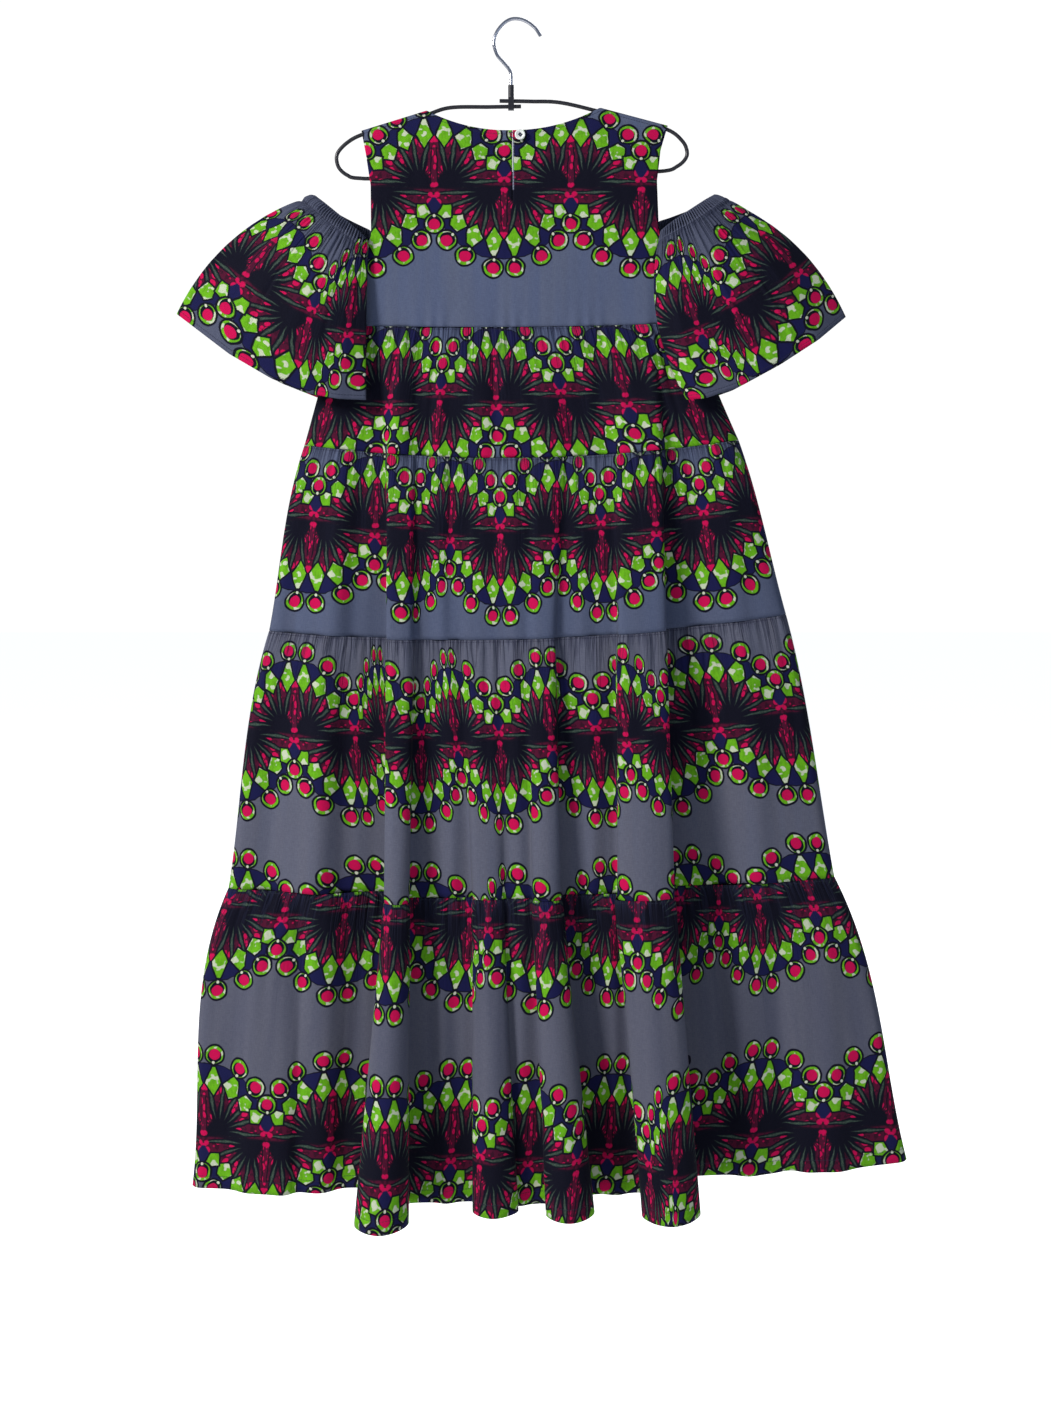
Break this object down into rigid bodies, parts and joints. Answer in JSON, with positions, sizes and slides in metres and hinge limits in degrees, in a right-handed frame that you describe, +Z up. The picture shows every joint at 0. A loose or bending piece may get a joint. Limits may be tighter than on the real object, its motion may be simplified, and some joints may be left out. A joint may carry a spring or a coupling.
{
  "type": "tiered dress on hanger",
  "caption": "Tiered sleeved dress with cold shoulders, gathered skirt tiers and a buttoned back slit, hung on a wire hanger with a hook.",
  "frame": {"origin": "the inside top of the hanger's hook, where a rail carries it", "axes": "+Z up; -Y towards the side in view, the dress's back with its slit and button; +X to the right as it is seen"},
  "size_m": [0.8474, 0.1681, 1.3636],
  "materials": {
    "printed_cotton": "plain-weave cotton with a printed pattern of fans, kites and ringed discs on a slate ground",
    "coated_wire": "black coating over steel",
    "chromed_hook": "polished",
    "pearly_button": "pearly",
    "navy_thread": "twisted thread"
  },
  "bodies": {
    "root": {"bodice_back": "printed_cotton", "bodice_front": "printed_cotton", "tier_1_back": "printed_cotton", "tier_1_front": "printed_cotton", "tier_2_back": "printed_cotton", "tier_2_front": "printed_cotton", "tier_3_back": "printed_cotton", "tier_3_front": "printed_cotton", "tier_4_back": "printed_cotton", "tier_4_front": "printed_cotton", "sleeve_left": "printed_cotton", "sleeve_right": "printed_cotton", "hanger_wire": "coated_wire", "hanger_ferrule": "coated_wire", "hanger_hook": "chromed_hook", "button": "pearly_button", "button_loop": "navy_thread"}
  },
  "joints": []
}
